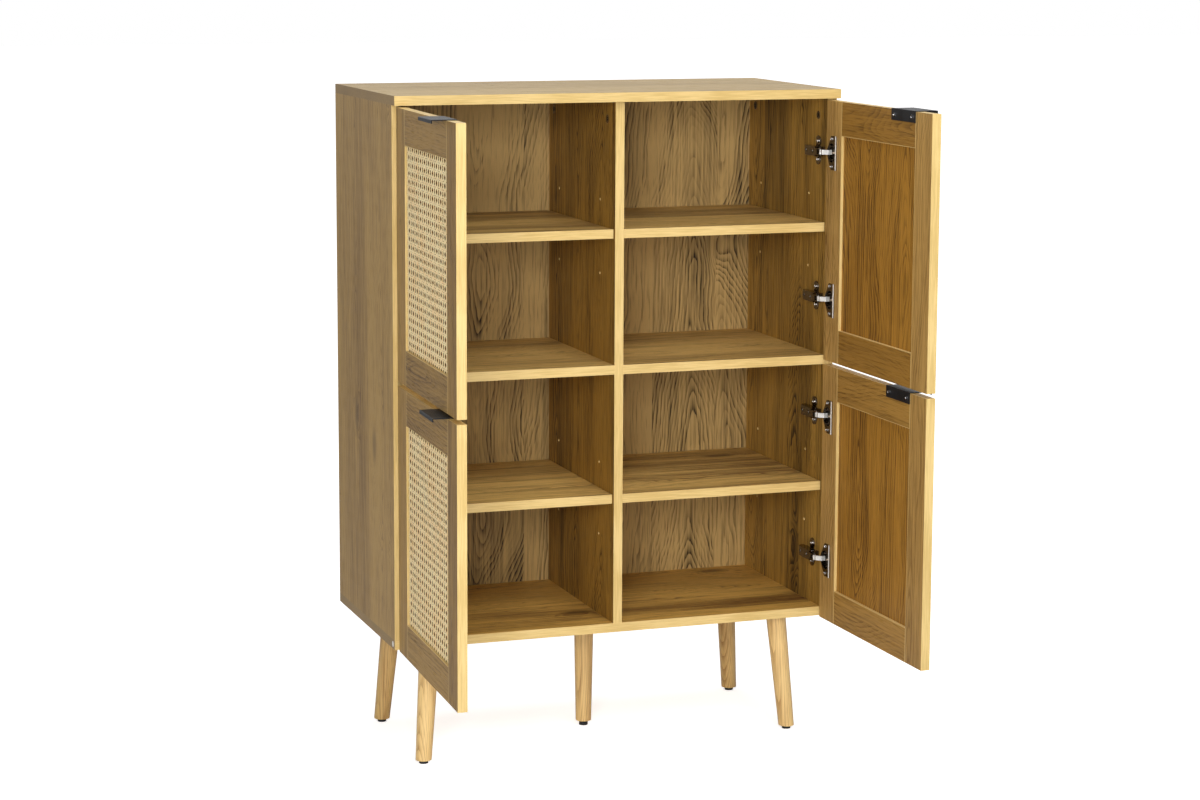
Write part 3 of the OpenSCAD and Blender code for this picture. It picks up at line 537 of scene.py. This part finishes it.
def metal(name, colour, roughness, metallic=1.0, pale=None):
    """Plated metal. pale is (direction, start, colour): beyond start, colour paints a reflection on the
    plating, which is made less metallic there.
    """
    g = Graph(name)
    marks = g.noise(g.place(), scale=400.0, detail=4, roughness=0.6)
    stain = g.noise(g.place(), scale=45.0, detail=2)
    shade = g.mix(g.range(stain, 0.3, 0.7), colour, tuple(0.86 * c for c in colour))
    if pale is not None:
        beyond = g.math("GREATER_THAN", g.dot(g.place(), pale[0]), pale[1])
        shade = g.mix(beyond, shade, pale[2])
        metallic = g.math("MULTIPLY_ADD", beyond, -0.6, metallic)
    rough = g.range(marks, 0.3, 0.7, roughness, roughness + 0.06)
    return g.set(Base_Color=shade, Metallic=metallic, Roughness=rough, Normal=g.bump(marks, 0.08, 0.0001))


def powder_coat():
    g = Graph("powder_coat")
    grit = g.noise(g.place(), scale=1800.0, detail=2)
    haze = g.noise(g.place(), scale=30.0, detail=2)
    colour = g.mix(g.range(haze, 0.3, 0.7), srgb(27, 28, 31), srgb(38, 40, 44))
    return g.set(Base_Color=colour, Roughness=g.range(grit, 0.3, 0.7, 0.38, 0.52),
                 Normal=g.bump(grit, 0.35, 0.00012), Specular_IOR_Level=0.18)


def foot_plastic(stem_z):
    """Black plastic up to stem_z; the bare stem above it is steel."""
    g = Graph("foot_plastic")
    place = g.place()
    grit = g.noise(place, scale=1500.0, detail=2)
    stem = g.range(g.dot(place, Z), stem_z, stem_z + 0.0003)
    thread = g.math("SINE", g.math("MULTIPLY", g.dot(place, Z), 2 * math.pi / THREAD_PITCH))
    colour = g.mix(stem, g.mix(grit, srgb(24, 24, 25), srgb(36, 36, 37)), srgb(190, 190, 194))
    height = g.math("ADD", g.math("MULTIPLY", thread, stem), g.math("MULTIPLY", grit, 0.2))
    return g.set(Base_Color=colour, Metallic=stem, Roughness=g.range(grit, 0.3, 0.7, 0.4, 0.55),
                 Normal=g.bump(height, 0.4, 0.0003))


def paint_fittings():
    # the darkened nickel: plating painted with dark reflections
    nickel = metal("nickel", NICKEL_DARK_REFLECTION, 0.1)
    # near-white, less metallic nickel for the links and end plugs: a painted white reflection
    bright = metal("nickel_white_reflection", NICKEL_WHITE_REFLECTION, 0.34, metallic=0.55)
    zinc = metal("zinc", srgb(190, 189, 186), 0.25)
    steel = metal("steel", srgb(214, 214, 216), 0.2)
    black = powder_coat()
    wood = leg_wood()
    for node, material, slot in (
            ("hinge_plates", nickel, "hinge_nickel"), ("hinge_arms", nickel, "hinge_nickel"),
            ("cam_locks", nickel, "zinc"), ("shelf_pins", zinc, "zinc"), ("leg_plates", zinc, "plate_steel")):
        paint(node, material, slot)
        soften(nodes[node], METAL_ROUND, segments=1)
    paint("end_plugs", bright, "zinc")
    for node in ("hinge_plate_screws", "cam_bolts", "base_screws", "leg_plate_screws", "leg_bolts"):
        paint(node, steel, "screw_steel")
    for door in doors:
        inward = -door.out
        # the bar of each cup, where it stands proud of the flange, takes a painted white reflection
        bar = (inward, inward.dot(door.origin) + FLANGE_T, NICKEL_WHITE_REFLECTION)
        cup = metal("cup_nickel_" + door.name, NICKEL_DARK_REFLECTION, 0.1, pale=bar)
        for part, material, slot in (
                ("_handle", black, "handle_black"), ("_hinge_cups", cup, "hinge_nickel"),
                ("_hinge_links", bright, "hinge_nickel"), ("_door_screws", steel, "screw_steel")):
            paint(door.name + part, material, slot)
            soften(nodes[door.name + part], HANDLE_ROUND if part == "_handle" else DOOR_METAL_ROUND)
    paint("dowels", end_grain("beech", srgb(214, 180, 136), srgb(180, 142, 98)), "dowel_beech")
    for node in ("corner_legs", "centre_leg"):
        paint(node, wood, "leg_oak")
        soften(nodes[node], LEG_ROUND, segments=3)
    foot = foot_plastic(FOOT_TOP)
    for node in ("front_left_foot", "front_right_foot", "rear_left_foot", "rear_right_foot", "centre_foot"):
        paint(node, foot, "foot_black")
        soften(nodes[node], FOOT_ROUND)


# ---------- woven cane ----------

CANE_PITCH = 0.0133
STRAND_HALF = 0.00105
DIAGONAL_HALF = 0.0009
PAIR_HALF = 0.00145
STRAND_THICK = 0.00038
WEAVE = 0.0005
# how far a strand lies off its place, how far it wanders along its length, and the room left at the frame
SET_OFF = 0.00022
DIAGONAL_OFF = 0.0002
WANDER = 0.00015
WANDER_PER_M = 37
FRAME_ROOM = 0.0001
# a strand's section: place across and through it, and how much painted shade it takes there, darker at its
# edges where the strands meet
SECTION = [(-1.0, -0.2, 1.0), (-0.7, 0.62, 0.45), (0.0, 1.0, 0.0), (0.7, 0.62, 0.45), (1.0, -0.2, 1.0),
           (0.6, -0.7, 1.0), (-0.6, -0.7, 1.0)]


def strand_rings(centre, side, half_w, thick):
    """Cross-sections of a strand, crowned outside and flat behind: arrays of door coordinates (a, b, z)."""
    rings = []
    for x, y, _ in SECTION:
        ring = centre.copy()
        ring[:, 0] += side[0] * x * half_w
        ring[:, 2] += side[1] * x * half_w
        ring[:, 1] += y * thick
        rings.append(ring)
    return np.stack(rings, axis=1)


def clip_line(point, direction, width, height):
    """Where a line crosses the panel's rectangle: its first and last parameter, or None."""
    lo, hi = -1e9, 1e9
    for p, d, size in zip(point, direction, (width, height)):
        if abs(d) < 1e-12:
            if not 0 < p < size:
                return None
            continue
        t = sorted(((0 - p) / d, (size - p) / d))
        lo, hi = max(lo, t[0]), min(hi, t[1])
    return (lo, hi) if hi - lo > CANE_PITCH * 0.4 else None


def cane_strands(width, height, rng):
    """Every strand of one panel as (centre line, side direction, half width, thickness, tone)."""
    half = CANE_PITCH / 2
    lines = []
    for axis, size in ((0, width), (1, height)):
        count = int(size / CANE_PITCH) + 2
        for i in range(count):
            for k in (-1, 1):
                at = (i + 0.5) * CANE_PITCH + k * PAIR_HALF + rng.uniform(-SET_OFF, SET_OFF)
                point = (at, 0) if axis == 0 else (0, at)
                direction = (0, 1) if axis == 0 else (1, 0)
                lines.append((point, direction, STRAND_HALF, axis, i + k))
    reach = int((width + height) / CANE_PITCH) + 2
    for slope in (1, -1):
        for i in range(-reach, reach):
            start = (0, (i + 0.5) * CANE_PITCH + rng.uniform(-DIAGONAL_OFF, DIAGONAL_OFF))
            lines.append((start, (math.sqrt(0.5), slope * math.sqrt(0.5)), DIAGONAL_HALF, 2, i))
    for point, direction, half_w, kind, phase in lines:
        span = clip_line(point, direction, width, height)
        if span is None:
            continue
        step = half / 2 if kind < 2 else half / math.sqrt(2)
        t = np.arange(span[0], span[1] + step * 0.5, step)
        t = np.append(t[t < span[1]], span[1])
        a = point[0] + direction[0] * t
        z = point[1] + direction[1] * t
        if kind == 0:
            lift = np.cos(z * 2 * math.pi / CANE_PITCH) * WEAVE * (1 if phase % 2 else -1)
        elif kind == 1:
            lift = -np.cos(a * 2 * math.pi / CANE_PITCH) * WEAVE * (1 if phase % 2 else -1)
        else:
            lift = np.full_like(a, 0.0001) + 0.3 * WEAVE * np.cos(t * 2 * math.pi / CANE_PITCH + phase)
        wander = rng.uniform(-WANDER, WANDER)
        centre = np.column_stack([a, lift, z])
        side = (direction[1], -direction[0])
        centre[:, 0] += side[0] * wander * np.sin(t * WANDER_PER_M + phase)
        centre[:, 2] += side[1] * wander * np.sin(t * WANDER_PER_M + phase)
        width_now = half_w * rng.uniform(0.88, 1.08)
        yield centre, side, width_now, STRAND_THICK * rng.uniform(0.85, 1.15), rng.random()


def build_cane(door, material, seed):
    """The woven panel of one door, as real strands inside the space of its CAD slab."""
    rng = random.Random(seed)
    box_low, box_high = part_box(door.name + "_cane")
    width = DOOR_W - 2 * STILE_W
    height = box_high.z - box_low.z
    points, faces, tones, rims = [], [], [], []
    base = 0
    mid = (CANE_IN + CANE_OUT) / 2
    for centre, side, half_w, thick, tone in cane_strands(width, height, rng):
        rings = strand_rings(centre, side, half_w, thick)
        rings[:, :, 0] = np.clip(rings[:, :, 0], FRAME_ROOM, width - FRAME_ROOM)
        rings[:, :, 2] = np.clip(rings[:, :, 2], FRAME_ROOM, height - FRAME_ROOM)
        n, m = rings.shape[:2]
        flat = rings.reshape(-1, 3)
        row = door.point(flat[:, 0] + STILE_W, flat[:, 1] + mid, flat[:, 2] + box_low.z)
        points.append(row)
        tones.append(np.full(len(flat), tone))
        rims.append(np.tile([part[2] for part in SECTION], n))
        index = base + np.arange(n * m).reshape(n, m)
        nxt = np.roll(index, -1, axis=1)
        quads = np.stack([index[:-1], index[1:], nxt[1:], nxt[:-1]], axis=-1).reshape(-1, 4)
        faces += quads.tolist() + [index[0].tolist(), index[-1][::-1].tolist()]
        base += n * m
    mesh = bpy.data.meshes.new(door.name + "_cane_weave")
    mesh.from_pydata(np.concatenate(points).tolist(), [], faces)
    mesh.update()
    for name, values in (("tone", tones), ("rim", rims)):
        attribute = mesh.attributes.new(name, "FLOAT", "POINT")
        attribute.data.foreach_set("value", np.concatenate(values).astype(np.float32))
    weave = bpy.data.objects.new(door.name + "_cane_weave", mesh)
    bpy.context.scene.collection.objects.link(weave)
    # left doors mirror the door's axes, so their faces are turned to point outwards
    if door.sign < 0:
        mesh.flip_normals()
    mesh.shade_smooth()
    mesh.materials.append(material)
    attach(weave, door.body)
    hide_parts(door.name + "_cane")


def cane_material():
    g = Graph("cane")
    place = g.place()
    fibre = g.noise(g.scaled(place, (1400, 1400, 700)), detail=3)
    stain = g.noise(place, scale=24.0, detail=3)
    tone = g.attribute("tone")
    amount = g.math("MULTIPLY_ADD", stain, 0.8, -0.5)
    amount = g.math("ADD", g.math("MULTIPLY", tone, 0.65), amount, clamp=True)
    colour = g.mix(amount, srgb(255, 242, 194), srgb(251, 204, 132))
    # painted shade along each strand's edges, where the strands meet
    colour = g.mix(g.math("MULTIPLY", g.attribute("rim"), 0.4), colour, srgb(206, 142, 68))
    colour = g.mix(g.range(fibre, 0.58, 0.75, 0.0, 0.3), colour, srgb(170, 136, 88))
    return g.set(Base_Color=colour, Roughness=0.5, Normal=g.bump(fibre, 0.3, 0.00015), Coat_Weight=0.1,
                 Coat_Roughness=0.35)


# ---------- room ----------

FLOOR_W = 60


def add_floor():
    """A pale floor that glows softly further out, as a white studio sweep does."""
    bpy.ops.mesh.primitive_plane_add(size=FLOOR_W, location=(0, 0, 0))
    floor = bpy.context.object
    floor.name = "floor"
    g = Graph("floor")
    place = g.place()
    soft = g.noise(place, scale=3.0, detail=2)
    squares = [g.math("POWER", g.dot(place, axis), 2.0) for axis in (X, Y)]
    away = g.math("SQRT", g.math("ADD", *squares))
    seen = g.tree.nodes.new("ShaderNodeLightPath").outputs["Is Camera Ray"]
    glow = g.math("MULTIPLY", seen, g.range(away, 0.3, 2.2, 0.7, 1.0))
    pale = g.mix(soft, (0.93, 0.93, 0.93), (0.96, 0.96, 0.96))
    floor.data.materials.append(g.set(Base_Color=pale, Roughness=0.9, Emission_Color=(1, 1, 1, 1),
                                      Emission_Strength=glow))


def add_area(name, location, target, size, power):
    data = bpy.data.lights.new(name, "AREA")
    data.shape = "RECTANGLE"
    data.size, data.size_y = size
    data.energy = power
    light = bpy.data.objects.new(name, data)
    light.location = location
    light.rotation_euler = (Vector(target) - Vector(location)).to_track_quat("-Z", "Y").to_euler()
    bpy.context.scene.collection.objects.link(light)


def add_world(seen, lit, dim):
    """White all round where it is seen, softer as a light. Mirrors see it white above and behind, and dim
    towards the front, as in a studio."""
    world = bpy.data.worlds.new("studio")
    bpy.context.scene.world = world
    world.use_nodes = True
    tree = world.node_tree
    path = tree.nodes.new("ShaderNodeLightPath")
    way = tree.nodes.new("ShaderNodeTexCoord").outputs["Generated"]
    white = []
    for direction, start, end in ((Y, 0.0, 0.25), (Z, 0.55, 0.7)):
        dot = tree.nodes.new("ShaderNodeVectorMath")
        dot.operation = "DOT_PRODUCT"
        tree.links.new(way, dot.inputs[0])
        dot.inputs[1].default_value = direction
        step = tree.nodes.new("ShaderNodeMapRange")
        tree.links.new(dot.outputs["Value"], step.inputs["Value"])
        for key, value in zip(("From Min", "From Max", "To Min", "To Max"), (start, end, dim, seen)):
            step.inputs[key].default_value = value
        white.append(step.outputs[0])
    mirrored = tree.nodes.new("ShaderNodeMath")
    mirrored.operation = "MAXIMUM"
    for socket, value in zip(mirrored.inputs, white):
        tree.links.new(value, socket)
    strength = lit
    for ray, value in (("Is Glossy Ray", mirrored.outputs[0]), ("Is Camera Ray", seen)):
        choice = tree.nodes.new("ShaderNodeMix")
        choice.data_type = "FLOAT"
        tree.links.new(path.outputs[ray], choice.inputs["Factor"])
        for socket, option in zip(choice.inputs[2:4], (strength, value)):
            if isinstance(option, float):
                socket.default_value = option
            else:
                tree.links.new(option, socket)
        strength = choice.outputs[0]
    background = tree.nodes["Background"]
    tree.links.new(strength, background.inputs["Strength"])
    background.inputs["Color"].default_value = (1, 1, 1, 1)


def add_lights():
    add_world(seen=1.0, lit=0.2, dim=0.06)
    add_area("key", (-1.9, -4.4, 1.6), (0, 0, 0.7), (1.5, 1.5), 120)
    add_area("high", (0.2, -3.0, 3.3), (0, 0, 0.5), (2.0, 1.4), 62)
    add_area("overhead", (0, 0.6, 3.4), (0, 0.1, 1.0), (2.0, 1.4), 24)


# ---------- build ----------

paint_carcass()
paint_doors()
paint_fittings()
cane_look = cane_material()
for number, door in enumerate(doors):
    build_cane(door, cane_look, 100 + number)
add_floor()
add_lights()
bpy.context.scene.view_settings.view_transform = "Standard"
